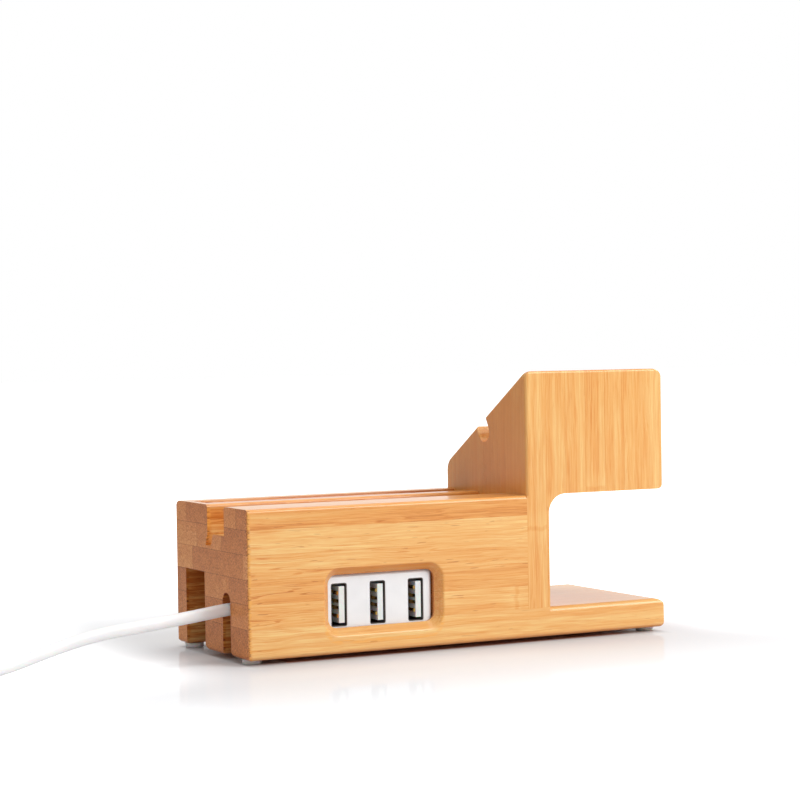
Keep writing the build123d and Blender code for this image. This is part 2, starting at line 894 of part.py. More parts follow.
def coil_stations():
    """Points and directions on the coil at each quarter turn: a layer that spirals in, the half turn that
    climbs, and a layer that spirals out again."""
    start = free_route()[-1]
    half_span = coil_layer_turns * coil_turn_pitch / 2
    inner, outer = coil_mean_radius - half_span, coil_mean_radius + half_span
    centre = start + Vector(-cord_diameter, outer, 0)
    quarters = round(4 * coil_layer_turns)
    stations = []
    for layer, (turned, height) in enumerate(((0, 0), (quarters + 2, coil_layer_pitch))):
        for n in range(quarters + 1):
            wound = n / quarters
            radius = outer + (inner - outer) * wound if layer == 0 else inner + (outer - inner) * wound
            angle = -pi / 2 - (turned + n) * pi / 2
            ends = n in (0, quarters)
            drift = 0 if ends else (1 if layer else -1) * coil_turn_pitch / (2 * pi)
            out = Vector(cos(angle), sin(angle), 0)
            round_way = Vector(sin(angle), -cos(angle), 0)
            place = centre + out * radius + Vector(0, 0, height)
            stations.append((place, (round_way * radius + out * drift).normalized()))
    return centre, inner, outer, stations


def cord_coil():
    """The put-away cord: one unbroken tube wound in two layers, straight for one diameter at each end."""
    start = free_route()[-1]
    _, _, _, stations = coil_stations()
    first, last = stations[0], stations[-1]
    edges = [Line(start, first[0])]
    for (a, a_way), (b, b_way) in zip(stations, stations[1:]):
        edges += biarc(a, a_way, b, b_way)
    end = last[0] + last[1] * cord_diameter
    edges.append(Line(last[0], end))
    path = Wire(edges)
    section = Plane(origin=start, z_dir=first[1]) * Circle(cord_radius)
    tube = sweep(section, path=path)
    share = tube.volume / (pi * cord_radius**2 * path.length)
    print("coil length", round(path.length, 1), "volume share", round(share, 4))
    print("coil least gap to itself", round(least_gap(edges), 2))
    return tube, end


def least_gap(edges):
    """The least gap between stretches of the coil more than a few diameters apart along it."""
    points, run = [], 0
    for edge in edges:
        count = max(2, round(edge.length / (cord_diameter / 4)))
        points += [(run + edge.length * n / count, edge @ (n / count)) for n in range(count)]
        run += edge.length
    apart = 3 * cord_diameter
    least = min(
        hypot(p.X - q.X, p.Y - q.Y, p.Z - q.Z)
        for i, (s, p) in enumerate(points)
        for t, q in points[i + 1 :]
        if t - s > apart
    )
    return least - cord_diameter


def cord_tie():
    """A band round the coil's turns on the side away from the front, lying flat on the surface."""
    centre, inner, outer, _ = coil_stations()
    inside = sqrt((inner - cord_radius) ** 2 - (tie_width / 2) ** 2) - tie_side_gap
    outside = outer - coil_turn_pitch / 2 + cord_radius + tie_side_gap
    low, high = tie_thickness, centre.Z + coil_layer_pitch + cord_radius + tie_gap
    middle = ((inside + outside) / 2, (low + high) / 2)
    opening = RectangleRounded(outside - inside, high - low, tie_thickness)
    band = RectangleRounded(
        outside - inside + 2 * tie_thickness, high - low + 2 * tie_thickness, 2 * tie_thickness
    )
    face = Pos(centre.Y + middle[0], middle[1]) * (band - opening)
    return prism_along_x(face, centre.X - tie_width / 2, centre.X + tie_width / 2)


def plug_pieces(entry):
    """The plug at the cord's end, pointing left: moulded body, metal shell, insert and its contacts."""
    middle_y, middle_z = entry.Y, entry.Z
    body_right = entry.X - plug_boot_length
    body_left = body_right - plug_body_length
    half_wide, half_high = plug_body_width / 2, plug_body_height / 2
    body = box_between(
        body_left, body_right, middle_y - half_wide, middle_y + half_wide, middle_z - half_high,
        middle_z + half_high,
    )
    body = fillet(body.edges().filter_by(Axis.X), radius=plug_body_round)
    body = fillet(body.faces().sort_by(Axis.X)[-1].edges(), radius=plug_body_round / 2)
    boot = Polyline(
        (0, 0), (relief_tip_diameter / 2, 0), (plug_boot_diameter / 2, plug_boot_length),
        (0, plug_boot_length), close=True,
    )
    body += Plane(origin=entry, z_dir=(-1, 0, 0)) * revolve(Plane.XZ * make_face(boot), Axis.Z)
    place = Plane(
        origin=(body_left + plug_root_depth, middle_y, middle_z), x_dir=(0, -1, 0), z_dir=(-1, 0, 0)
    )
    outline = RectangleRounded(plug_metal_width, plug_metal_height, 2 * plug_metal)
    opening = RectangleRounded(
        plug_metal_width - 2 * plug_metal, plug_metal_height - 2 * plug_metal, plug_metal
    )
    length = plug_root_depth + plug_metal_length
    body -= extrude(place * outline, amount=length)
    shell = extrude(place * (outline - opening), amount=length)
    window_x = body_left - plug_metal_length + plug_window_setback
    for side in (-1, 1):
        y = middle_y + side * plug_window_offset
        shell -= Pos(window_x, y, middle_z) * Box(
            plug_window_side, plug_window_side, plug_metal_height + overrun
        )
    insert_wide = plug_metal_width / 2 - plug_metal
    insert_low = middle_z - plug_metal_height / 2 + plug_metal
    insert_left, insert_right = body_left - plug_metal_length, body_left + plug_root_depth
    insert = box_between(
        insert_left + plug_metal, insert_right, middle_y - insert_wide + hole_gap,
        middle_y + insert_wide - hole_gap, insert_low, insert_low + plug_insert_height,
    )
    low_edges = insert.faces().sort_by(Axis.Z)[0].edges().filter_by(Axis.X)
    insert = fillet(low_edges, radius=plug_metal)
    insert_top = insert_low + plug_insert_height
    contacts = []
    for offset in contact_offsets:
        inner = abs(offset) < max(contact_offsets)
        long = plug_contact_inner_length if inner else plug_contact_length
        right_end = insert_left + plug_contact_length + overrun
        strip = box_between(
            right_end - long, right_end, middle_y + offset - contact_width / 2,
            middle_y + offset + contact_width / 2, insert_top - contact_metal, insert_top,
        )
        insert -= strip
        contacts.append(strip)
    return {
        "plug_body": body,
        "plug_shell": shell,
        "plug_insert": insert,
        "plug_contacts": contacts,
    }


def pads():
    places = [
        (x, y)
        for x in (left + pad_end_inset, right - pad_end_inset)
        for y in (near + pad_near_inset, far - pad_far_inset)
    ]
    return [rod((x, y, 0), (0, 0, 1), pad_diameter, pad_height) for x, y in places]


def all_nodes():
    nodes = wood_nodes()
    nodes["watch_stand"] = watch_stand()
    nodes["dowels"] = dowel_rods(0)
    nodes["stand_screws"] = [
        countersunk_screw(c, (0, 0, 1), stand_screw_diameter, stand_screw_head_diameter, stand_screw_length)
        for c in stand_screw_centres()
    ]
    for n, pad in enumerate(pads()):
        nodes[f"pad_{n + 1}"] = pad
    nodes["hub_cover_plate"] = cover_plate()
    nodes["cover_screws"] = [
        countersunk_screw(c, (0, 0, 1), cover_screw_diameter, cover_screw_head_diameter, cover_screw_length)
        for c in cover_screw_centres()
    ]
    nodes["hub_front_shell"], nodes["hub_rear_shell"] = hub_shells()
    nodes["hub_screws"] = hub_screws()
    nodes["circuit_board"] = circuit_board()
    nodes["controller_chip"], nodes["capacitors"], nodes["inductor"] = board_parts()
    for n, x in enumerate(port_middles):
        nodes[f"port_shell_{n + 1}"] = port_shell(x)
        nodes[f"port_insulator_{n + 1}"] = port_insulator(x)
        nodes[f"port_contacts_{n + 1}"] = port_contacts(x)
    nodes["supply_wires"] = supply_wires()
    nodes["strain_relief"] = strain_relief()
    nodes["power_cord"] = cord_tube("cord", free_route())
    nodes["power_cord_coil"], coil_end = cord_coil()
    tail = [coil_end + Vector(*step) for step in tail_route]
    nodes["power_cord_tail"] = cord_tube("tail", tail)
    nodes["cord_tie"] = cord_tie()
    nodes.update(plug_pieces(tail[-1]))
    return nodes


os.makedirs("parts", exist_ok=True)
for name, made in all_nodes().items():
    solids = made if isinstance(made, list) else [made]
    export_step(Compound(children=[s for piece in solids for s in piece.solids()]), f"parts/{name}.step")
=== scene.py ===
import json
import math
from types import SimpleNamespace

import bmesh
import bpy
from mathutils import Matrix, Vector


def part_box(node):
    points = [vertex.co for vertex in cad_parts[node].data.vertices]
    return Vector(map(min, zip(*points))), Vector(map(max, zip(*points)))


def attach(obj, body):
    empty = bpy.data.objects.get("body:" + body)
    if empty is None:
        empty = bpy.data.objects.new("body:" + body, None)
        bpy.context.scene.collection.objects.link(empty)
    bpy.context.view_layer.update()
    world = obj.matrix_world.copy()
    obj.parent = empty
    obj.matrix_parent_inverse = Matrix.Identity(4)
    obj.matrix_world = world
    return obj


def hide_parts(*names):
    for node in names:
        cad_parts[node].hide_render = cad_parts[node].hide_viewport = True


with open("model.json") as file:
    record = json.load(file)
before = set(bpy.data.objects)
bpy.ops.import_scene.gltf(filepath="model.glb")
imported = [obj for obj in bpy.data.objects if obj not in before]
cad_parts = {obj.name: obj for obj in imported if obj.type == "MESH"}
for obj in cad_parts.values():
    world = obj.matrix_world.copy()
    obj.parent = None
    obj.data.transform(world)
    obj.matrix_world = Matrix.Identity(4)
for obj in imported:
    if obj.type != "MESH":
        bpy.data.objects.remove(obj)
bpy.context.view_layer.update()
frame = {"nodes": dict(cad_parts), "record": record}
nodes = frame["nodes"]
print("frame loaded:", len(nodes), "nodes")

mm = 0.001
white = (1, 1, 1, 1)


# One value or colour in a node tree. Sums and products on it add Math nodes.
class Wire:
    def __init__(self, tree, socket=None):
        self.tree = tree
        self.socket = socket

    def node(self, kind, settings=None, inputs=None, out=0):
        made = self.tree.nodes.new(kind)
        for key, value in (settings or {}).items():
            if key == "stops":
                setStops(made.color_ramp, value)
            else:
                setattr(made, key, value)
        for key, value in (inputs or {}).items():
            if isinstance(value, Wire):
                self.tree.links.new(value.socket, made.inputs[key])
            else:
                made.inputs[key].default_value = value
        return Wire(self.tree, made.outputs[out])

    def maths(self, operation, *values):
        return self.node("ShaderNodeMath", {"operation": operation}, dict(enumerate(values)))

    def __add__(self, other):
        return self.maths("ADD", self, other)

    def __radd__(self, other):
        return self.maths("ADD", other, self)

    def __sub__(self, other):
        return self.maths("SUBTRACT", self, other)

    def __rsub__(self, other):
        return self.maths("SUBTRACT", other, self)

    def __mul__(self, other):
        return self.maths("MULTIPLY", self, other)

    def __truediv__(self, other):
        return self.maths("DIVIDE", self, other)

    def __abs__(self):
        return self.maths("ABSOLUTE", self)

    def __pow__(self, other):
        return self.maths("POWER", self, other)

    def atLeast(self, other):
        return self.maths("MAXIMUM", self, other)

    def atMost(self, other):
        return self.maths("MINIMUM", self, other)

    def floor(self):
        return self.maths("FLOOR", self)

    def wave(self):
        return self.maths("SINE", self)

    def smooth(self, low, high):
        return self.node(
            "ShaderNodeMapRange", {"interpolation_type": "SMOOTHSTEP"},
            {"Value": self, "From Min": low, "From Max": high},
        )

    def axes(self):
        return [self.node("ShaderNodeSeparateXYZ", None, {0: self}, n) for n in range(3)]


def setStops(band, stops):
    while len(band.elements) > 1:
        band.elements.remove(band.elements[-1])
    for n, (place, colour) in enumerate(stops):
        element = band.elements[0] if n == 0 else band.elements.new(place)
        element.position = place
        element.color = (*colour, 1)


def newMaterial(name):
    material = bpy.data.materials.new(name)
    material.use_nodes = True
    return material, material.node_tree.nodes["Principled BSDF"], Wire(material.node_tree)


def plug(wire, shader, name):
    wire.tree.links.new(wire.socket, shader.inputs[name])


def objectPlace(start):
    # the place on the object in millimetres
    place = start.node("ShaderNodeTexCoord", out=3)
    return start.node("ShaderNodeVectorMath", {"operation": "SCALE"}, {0: place, "Scale": 1 / mm})


def vector(start, x, y, z):
    return start.node("ShaderNodeCombineXYZ", None, {0: x, 1: y, 2: z})


# Noise swings about 0.5, so 0.5 is taken off where it is to work both ways
def noise(start, place, scale=1.0, detail=3.0, roughness=0.5):
    return start.node(
        "ShaderNodeTexNoise", None,
        {"Vector": place, "Scale": scale, "Detail": detail, "Roughness": roughness},
    )


def hashOf(start, a, b, seed):
    place = vector(start, a, b, seed)
    return start.node("ShaderNodeTexWhiteNoise", {"noise_dimensions": "3D"}, {"Vector": place})


def ramp(start, stops, share):
    return start.node("ShaderNodeValToRGB", {"stops": stops}, {"Fac": share})


def mixColours(start, share, a, b, blend="MIX"):
    return start.node(
        "ShaderNodeMix", {"data_type": "RGBA", "blend_type": blend},
        {"Factor": share, 6: a, 7: b}, 2,
    )


def tinted(start, share, colour, tint):
    return mixColours(start, 1.0, colour, mixColours(start, share, white, tint), "MULTIPLY")


def bump(start, height, distance, strength=1.0):
    return start.node(
        "ShaderNodeBump", None, {"Height": height, "Distance": distance, "Strength": strength}
    )


# Bamboo, glued from strips: the grain runs one way, the layers are stacked along another.
# Tones go layer by layer. The wood is rough up to a place, and smooth from so many millimetres past it
bambooLooks = {
    "bambooBlock": {
        "grain": 0, "stack": 2, "layer": 7.3554, "start": 10.8, "strip": 19.6, "seed": 3.0, "torn": 0.30,
        "rough": (-70, 95), "tones": (0.02, -0.07, -0.02, 0.09, -0.12),
    },
    "bambooBoard": {
        "grain": 0, "stack": 2, "layer": 9.3, "start": 1.5, "strip": 19.6, "seed": 11.0, "torn": 0.18,
        "rough": (-70, 80), "tones": (0.06,),
    },
    # the stand's layer tones also paint light and shade: darker layers where the watch strap's shade fell,
    # lighter ones towards the arm's right end, where more light falls
    "bambooStand": {
        "grain": 2, "stack": 0, "layer": 7.3, "start": 22.1, "strip": 19.6, "seed": 5.0, "torn": 0.05,
        "rough": (90, 10), "tones": (-0.03, -0.06, -0.05, 0.0, -0.02, 0.04, 0.06),
    },
}
longTones = [
    (0.0, (0.30, 0.075, 0.012)),
    (0.25, (0.64, 0.215, 0.035)),
    (0.5, (0.80, 0.345, 0.082)),
    (0.75, (0.865, 0.468, 0.150)),
    (1.0, (0.92, 0.625, 0.250)),
]
endTones = [
    (0.0, (0.26, 0.070, 0.016)),
    (0.45, (0.61, 0.195, 0.048)),
    (0.75, (0.79, 0.295, 0.080)),
    (1.0, (0.93, 0.46, 0.165)),
]
fringeTones = [
    (0.25, (0.16, 0.035, 0.008)),
    (0.45, (0.72, 0.24, 0.035)),
    (0.7, (0.88, 0.42, 0.085)),
]
markColour = (0.46, 0.12, 0.020, 1)
emberColour = (0.93, 0.42, 0.075, 1)
# painted shade: faces turned downward are darkened towards this colour
underColour = (0.80, 0.62, 0.50, 1)
warmColour = (1.0, 0.86, 0.66, 1)
# painted shade for the walls of the channel, the slots and the groove
hollowShadeColour = (0.62, 0.36, 0.22, 1)

# Sides along the grain. Pairs of numbers are ranges, shares say how far a pattern moves the tone
grainLooks = {
    # fibres by length, pitch, detail and roughness
    "broad": (90, 3.2, 2, 0.55), "medium": (38, 0.9, 3, 0.55), "fine": (15, 0.27, 3, 0.65),
    "warm": (55, 2.0, 2, 0.55), "contour": (46, 1.9, 1, 0.55), "patch": (24, 3.4, 1, 0.55),
    "mark": (6, 0.42, 1, 0.55),
    # layers start a hair above their planes, and each strip takes its fibres from a place of its own
    "hair": 0.0001, "drift": 53, "waveLength": 26, "wavePitch": 7, "waveStack": 2.0, "waveAcross": 1.4,
    "tone": 0.675, "stripShare": 0.10, "broadShare": 0.62, "mediumShare": 0.55, "fineShare": 0.90,
    "calmShare": 0.60, "warmFrom": (0.40, 0.62), "warmShare": 0.26,
    "tornLines": 6, "tornFrom": (0.72, 0.98), "patchFrom": (0.47, 0.60), "tornOn": (0.36, 0.50),
    "tornShare": 0.30, "tornRough": 0.85, "markFrom": (0.70, 0.76), "markGain": 2,
    "knucklePitch": 2.2, "knuckleWobble": 2.4, "knuckleSpread": 250, "knuckleStart": -120,
    "knuckleBand": (0.25, 1.1), "knuckleGlow": (1.0, 7.0), "bandShare": 0.14, "glowShare": 0.10,
    "layerGlue": (0.16, 0.02), "stripGlue": (0.12, 0.02), "glueShare": 0.04, "glueRough": 0.10,
}

# Ends across the grain, with grit and the dark dots of the bundles
endLooks = {
    "grit": (5, 0.52, 2, 0.7), "coarse": (5, 1.1, 2, 0.6), "bundleLength": 9, "bundlePitch": 0.62,
    "dots": (0.10, 0.42), "rim": (0.6, 3.0), "tone": 0.66, "stripShare": 0.34, "gritShare": 1.25,
    "rimShare": 1.1, "dotShare": 0.18, "broadShare": 0.30, "glueShare": 0.34, "layerShare": 0.10,
    "ragged": 0.7, "edge": (0.58, 0.92),
}

surfaceLooks = {
    "roughness": 0.34, "fineRoughness": 0.20, "endRoughness": 0.22, "tornRoughness": 0.12,
    "mediumHeight": 0.35, "fineHeight": 0.5, "tornDepth": 0.8, "glueDepth": 0.35, "dotDepth": 0.8,
    "bump": 0.00007, "bumpStrength": 0.6, "coat": 0.62, "endCoat": 0.40, "coatRoughness": 0.20,
    # the last pair is the range of the normal's height over which faces turned down get painted shade
    "specular": 0.30, "under": (-0.15, -0.75),
}

# Where tools cut into the block: its left end, the window, the channel, the cord's slot, the leaning slot
# and the groove
blockLow = Vector(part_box("base_board")[0]) / mm
blockTop = Vector(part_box("block_top_far")[1]).z / mm
hubLow, hubHigh = (Vector(c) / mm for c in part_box("hub_front_shell"))
openings = {o["name"]: [Vector(c) / mm for c in o["box_m"]] for o in frame["record"]["physics"]["openings"]}
channelLow, channelHigh = openings["cable_channel"]
slotLow, slotHigh = openings["cord_slot"]
grooveLow, grooveHigh = openings["tablet_groove"]
leaningLow, leaningHigh = openings["phone_slot_upper"]
leaningFloor = openings["phone_slot_lower"][0].z
cutLooks = {
    "gap": 0.25, "soft": 0.12, "ragged": 0.7, "slotRadius": 3.15, "slotCrown": 17.6,
    "lean": 23.2, "mouth": 9.36, "lip": 0.9, "endGap": 0.5, "grooveShare": 0.30,
    # how much painted shade the hollows' walls get, more where the fibres streak darker
    "shadeStreaks": (0.60, 0.42), "hollowShadeShare": 0.45, "shadeStreakShare": 0.55,
    "fringe": (0.45, 1.35), "fringeRagged": 2, "fringeGain": 2.1, "fringeTone": 0.60, "fringeShare": 0.85,
}
# the window's outer edge, as far as it stands past the hub's left and right ends, underside and top
windowLooks = {
    "left": 0.6, "right": 2.1, "low": 2.0, "high": 2.15, "round": 5.2, "inset": 0.5, "ragged": 0.8,
    "band": (0.9, 0.2), "depth": (2.4, 0.2), "grit": (0.35, 0.60), "share": 0.65,
}


def walls(value, low, high):
    # how far a place is outside a gap between two walls
    return abs(value - (low + high) / 2) - ((high - low) / 2 + cutLooks["gap"])


def hollowShadeMask(place, looks, ragged):
    # painted shade on the walls of the channel, the arched slot and the leaning slot, and, less deeply, the
    # groove
    along, across, height = place
    channel = walls(across, channelLow.y, channelHigh.y)
    channel = channel.atLeast(height - (channelHigh.z + looks["gap"]))
    channel = channel.atLeast(along - (channelHigh.x + looks["gap"]))
    above = (height - looks["slotCrown"]).atLeast(0)
    aside = across - (slotLow.y + slotHigh.y) / 2
    slot = (above * above + aside * aside) ** 0.5 - looks["slotRadius"]
    slot = slot.atLeast(along - (slotHigh.x + looks["gap"]))
    upright = across + (height - blockTop) * math.tan(math.radians(looks["lean"]))
    leaning = walls(upright, leaningHigh.y - looks["mouth"], leaningHigh.y + looks["lip"])
    leaning = leaning.atLeast((leaningLow.x - looks["endGap"]) - along)
    leaning = leaning.atLeast((leaningFloor - looks["gap"]) - height)
    deep = channel.atMost(slot).atMost(leaning) - ragged
    groove = walls(across, grooveLow.y, grooveHigh.y)
    groove = groove.atLeast((grooveLow.z - looks["gap"]) - height) - ragged
    deep, shallow = (v.smooth(looks["soft"], -looks["soft"]) for v in (deep, groove))
    return deep.atLeast(shallow * looks["grooveShare"])


def windowMask(place, looks, ragged):
    # a grainy band along the outer edge of the window's chamfer
    sides = (
        (place[0], hubLow.x - looks["left"], hubHigh.x + looks["right"]),
        (place[2], hubLow.z - looks["low"], hubHigh.z + looks["high"]),
    )
    beyond = [
        (abs(value - (low + high) / 2) - ((high - low) / 2 - looks["round"])).atLeast(0)
        for value, low, high in sides
    ]
    outside = (beyond[0] * beyond[0] + beyond[1] * beyond[1]) ** 0.5 - looks["round"]
    band = abs(outside + looks["inset"] + ragged * looks["ragged"]).smooth(*looks["band"])
    return band * (place[1] - blockLow.y).smooth(*looks["depth"])


def woodPlaces(start, looks):
    # where a place lies: along the grain, in its layer and in its strip. Each strip has its own tone
    wood = SimpleNamespace(axes=objectPlace(start).axes())
    wood.normal = start.node("ShaderNodeNewGeometry", out=1).axes()
    wood.grain, wood.stack, wood.across = (wood.axes[n] for n in (looks["grain"], looks["stack"], 1))
    layer = (wood.stack - (looks["start"] + grainLooks["hair"])) / looks["layer"]
    layerNumber = layer.floor()
    wood.layerTone = sum(
        layerNumber.maths("COMPARE", layerNumber, n, 0.5) * tone for n, tone in enumerate(looks["tones"])
    )
    strip = wood.across / looks["strip"] + hashOf(start, layerNumber, 0.5, looks["seed"])
    stripNumber = strip.floor()
    wood.tone, wood.knuckle = (hashOf(start, layerNumber, stripNumber, looks["seed"] + n) for n in (1, 2))
    wood.drift = wood.tone * grainLooks["drift"]
    # thin glue lines between layers and between strips
    wood.inLayer = layer - layerNumber
    inStrip = abs(strip - stripNumber - 0.5)
    layerLine = ((0.5 - abs(wood.inLayer - 0.5)) * looks["layer"]).smooth(*grainLooks["layerGlue"])
    stripLine = ((0.5 - inStrip) * looks["strip"]).smooth(*grainLooks["stripGlue"])
    wood.glue = layerLine.atLeast(stripLine)
    return wood


def addFibres(start, looks, wood):
    # slow waves bend the fibres a little
    length, pitch = grainLooks["waveLength"], grainLooks["wavePitch"]
    place = vector(start, wood.grain / length, wood.stack / pitch, wood.across / pitch + wood.drift)
    wave = noise(start, place, 1, 2)
    bentStack = wood.stack + wave * grainLooks["waveStack"]
    bentAcross = wood.across + wave * grainLooks["waveAcross"] + wood.drift

    def fibres(kind):
        length, pitch, detail, roughness = grainLooks[kind]
        place = vector(start, wood.grain / length, bentStack / pitch, bentAcross / pitch)
        return noise(start, place, 1, detail, roughness)

    wood.broad, wood.medium, wood.fine = (fibres(kind) for kind in ("broad", "medium", "fine"))
    wood.warm = fibres("warm").smooth(*grainLooks["warmFrom"])
    wood.marks = fibres("mark").smooth(*grainLooks["markFrom"])
    # torn lines follow the contours of a long soft pattern, in patches, most where the wood is rough
    wood.rough = 1 - (wood.grain - looks["rough"][0]).smooth(0, looks["rough"][1])
    contours = (fibres("contour") * (2 * math.pi * grainLooks["tornLines"])).wave()
    torn = contours.smooth(*grainLooks["tornFrom"])
    torn = torn * fibres("patch").smooth(*grainLooks["patchFrom"]) * wood.medium.smooth(*grainLooks["tornOn"])
    wood.torn = torn * (grainLooks["tornShare"] + wood.rough * grainLooks["tornRough"])


def addGrit(start, looks, wood):
    def grains(kind, shift=0):
        length, pitch, detail, roughness = endLooks[kind]
        place = vector(start, wood.grain / length, wood.stack / pitch, wood.across / pitch + shift)
        return noise(start, place, 1, detail, roughness)

    wood.grit, wood.coarse = grains("grit", wood.drift), grains("coarse")
    length, pitch = endLooks["bundleLength"], endLooks["bundlePitch"]
    place = vector(start, wood.grain / length, wood.stack / pitch, wood.across / pitch + wood.drift)
    bundles = start.node("ShaderNodeTexVoronoi", None, {"Vector": place, "Scale": 1.0})
    wood.dots = 1 - bundles.smooth(*endLooks["dots"])
    # the edge between side and end is ragged
    turned = abs(wood.normal[looks["grain"]]) + (wood.grit - 0.5) * endLooks["ragged"]
    wood.cutAcross = turned.smooth(*endLooks["edge"])


def sideColour(start, looks, wood):
    # a knuckle crosses a strip at its own place
    pitch = grainLooks["knucklePitch"]
    wobble = noise(start, vector(start, 0, wood.stack / pitch, wood.across / pitch), 1, 2)
    knucklePlace = wood.knuckle * grainLooks["knuckleSpread"] + grainLooks["knuckleStart"]
    fromKnuckle = abs(wood.grain + wobble * grainLooks["knuckleWobble"] - knucklePlace)
    band, glow = (1 - fromKnuckle.smooth(*grainLooks[kind]) for kind in ("knuckleBand", "knuckleGlow"))
    # faces across the stack show the fibres from their calm side
    calm = 1 - abs(wood.normal[looks["stack"]]) * grainLooks["calmShare"]
    contrast = (
        (wood.broad - 0.5) * grainLooks["broadShare"] + (wood.medium - 0.5) * grainLooks["mediumShare"]
        + (wood.fine - 0.5) * grainLooks["fineShare"]
    )
    tone = (
        grainLooks["tone"] + wood.layerTone + (wood.tone - 0.5) * grainLooks["stripShare"] + contrast * calm
        + glow * grainLooks["glowShare"] - wood.torn * looks["torn"] - band * grainLooks["bandShare"]
        - wood.glue * (grainLooks["glueShare"] + wood.rough * grainLooks["glueRough"])
    )
    colour = ramp(start, longTones, tone)
    colour = mixColours(start, wood.marks * (looks["torn"] * grainLooks["markGain"]), colour, markColour)
    return tinted(start, wood.warm * grainLooks["warmShare"], colour, warmColour)


def endColour(start, wood):
    rim = 1 - (wood.across - blockLow.y).smooth(*endLooks["rim"])
    tone = (
        endLooks["tone"] + (wood.tone - 0.5) * endLooks["stripShare"]
        + (wood.grit - 0.5) * (endLooks["gritShare"] + rim * endLooks["rimShare"])
        - wood.dots * endLooks["dotShare"] + (wood.broad - 0.5) * endLooks["broadShare"]
        - wood.glue * endLooks["glueShare"] - wood.inLayer * endLooks["layerShare"]
    )
    return ramp(start, endTones, tone)


def cutColoursAndShade(start, wood, side, end):
    # a ragged fringe at the left end, the window's band, and painted shade on the walls of the hollows,
    # streaked along the fibres
    ragged = (wood.grit - 0.5) * cutLooks["ragged"] + (wood.coarse - 0.5) * cutLooks["ragged"]
    fromEnd = wood.grain - blockLow.x - ragged * cutLooks["fringeRagged"]
    fringe = 1 - fromEnd.smooth(*cutLooks["fringe"])
    fringeTone = (wood.grit - 0.5) * cutLooks["fringeGain"] + cutLooks["fringeTone"]
    side = mixColours(start, fringe * cutLooks["fringeShare"], side, ramp(start, fringeTones, fringeTone))
    band = windowMask(wood.axes, windowLooks, ragged) * wood.grit.smooth(*windowLooks["grit"])
    side = mixColours(start, band * windowLooks["share"], side, emberColour)
    # painted shade in the hollows, streaked darker along the fibres
    shadeStreaks = wood.medium.smooth(*cutLooks["shadeStreaks"])
    hollowShade = hollowShadeMask(wood.axes, cutLooks, ragged) * (cutLooks["hollowShadeShare"] + shadeStreaks * cutLooks["shadeStreakShare"])
    return [tinted(start, hollowShade, colour, hollowShadeColour) for colour in (side, end)]


def makeBamboo(name, looks):
    material, shader, start = newMaterial(name)
    wood = woodPlaces(start, looks)
    addFibres(start, looks, wood)
    addGrit(start, looks, wood)
    side, end = sideColour(start, looks, wood), endColour(start, wood)
    if looks["grain"] == 0:
        side, end = cutColoursAndShade(start, wood, side, end)
    colour = mixColours(start, wood.cutAcross, side, end)
    # painted shade on the faces turned downward
    colour = tinted(start, wood.normal[2].smooth(*surfaceLooks["under"]), colour, underColour)
    plug(colour, shader, "Base Color")
    roughness = (
        surfaceLooks["roughness"] + (wood.fine - 0.5) * surfaceLooks["fineRoughness"]
        + wood.cutAcross * surfaceLooks["endRoughness"] + wood.torn * surfaceLooks["tornRoughness"]
    )
    plug(roughness, shader, "Roughness")
    height = (
        wood.medium * surfaceLooks["mediumHeight"] + wood.fine * surfaceLooks["fineHeight"]
        - wood.torn * surfaceLooks["tornDepth"] - wood.glue * surfaceLooks["glueDepth"]
        - wood.dots * wood.cutAcross * surfaceLooks["dotDepth"]
    )
    plug(bump(start, height, surfaceLooks["bump"], surfaceLooks["bumpStrength"]), shader, "Normal")
    plug(surfaceLooks["coat"] - wood.cutAcross * surfaceLooks["endCoat"], shader, "Coat Weight")
    shader.inputs["Coat Roughness"].default_value = surfaceLooks["coatRoughness"]
    shader.inputs["Specular IOR Level"].default_value = surfaceLooks["specular"]
    return material


# Moulded or metal finishes. What a finish doesn't say is taken from "usual"
usual = {
    "cloud": 0.15, "pitch": 6.0, "depth": 0.00002, "dark": 0.93, "spread": 0.12, "metal": 0.0, "coat": 0.0,
    "soft": 0.0, "softReach": 0.002, "stretch": (1, 1, 1), "cloudShare": 0.6, "textureShare": 0.4,
    "shade": (0.3, 0.7), "bumpStrength": 0.5,
}
plainLooks = {
    "dowelWood": {"colour": (0.62, 0.42, 0.22), "roughness": 0.6, "stretch": (0.1, 1, 1), "dark": 0.8},
    "screwSteel": {"colour": (0.52, 0.52, 0.54), "roughness": 0.32, "metal": 1.0, "pitch": 9.0},
    "padSilicone": {"colour": (0.72, 0.68, 0.66), "roughness": 0.34, "soft": 0.5, "pitch": 2.0},
    "hubPlastic": {"colour": (0.905, 0.91, 0.92), "roughness": 0.33, "pitch": 9.0, "depth": 0.00001},
    "circuitLaminate": {"colour": (0.03, 0.20, 0.09), "roughness": 0.4, "coat": 0.3, "dark": 0.7},
    "chipPlastic": {"colour": (0.03, 0.03, 0.034), "roughness": 0.5, "pitch": 14.0},
    "capacitorCan": {"colour": (0.62, 0.63, 0.65), "roughness": 0.3, "metal": 1.0, "stretch": (1, 0.05, 1)},
    # the port shells are coloured near black: painted shade standing in for the dark insides of the ports;
    # the plug's shell shares it
    "portMetal": {"colour": (0.13, 0.115, 0.105), "roughness": 0.40, "metal": 1.0, "stretch": (1, 0.06, 1)},
    "portPlastic": {"colour": (0.90, 0.87, 0.84), "roughness": 0.46, "pitch": 8.0, "soft": 0.35},
    "contactMetal": {"colour": (0.86, 0.55, 0.16), "roughness": 0.24, "metal": 1.0, "stretch": (1, 0.1, 1)},
    "wireSleeve": {"colour": (0.50, 0.05, 0.04), "roughness": 0.45},
    "cordSleeve": {
        "colour": (0.97, 0.965, 0.96), "roughness": 0.38, "soft": 0.15, "pitch": 5.0, "depth": 0.000012,
    },
    "plugPlastic": {"colour": (0.86, 0.86, 0.86), "roughness": 0.42, "pitch": 8.0},
}


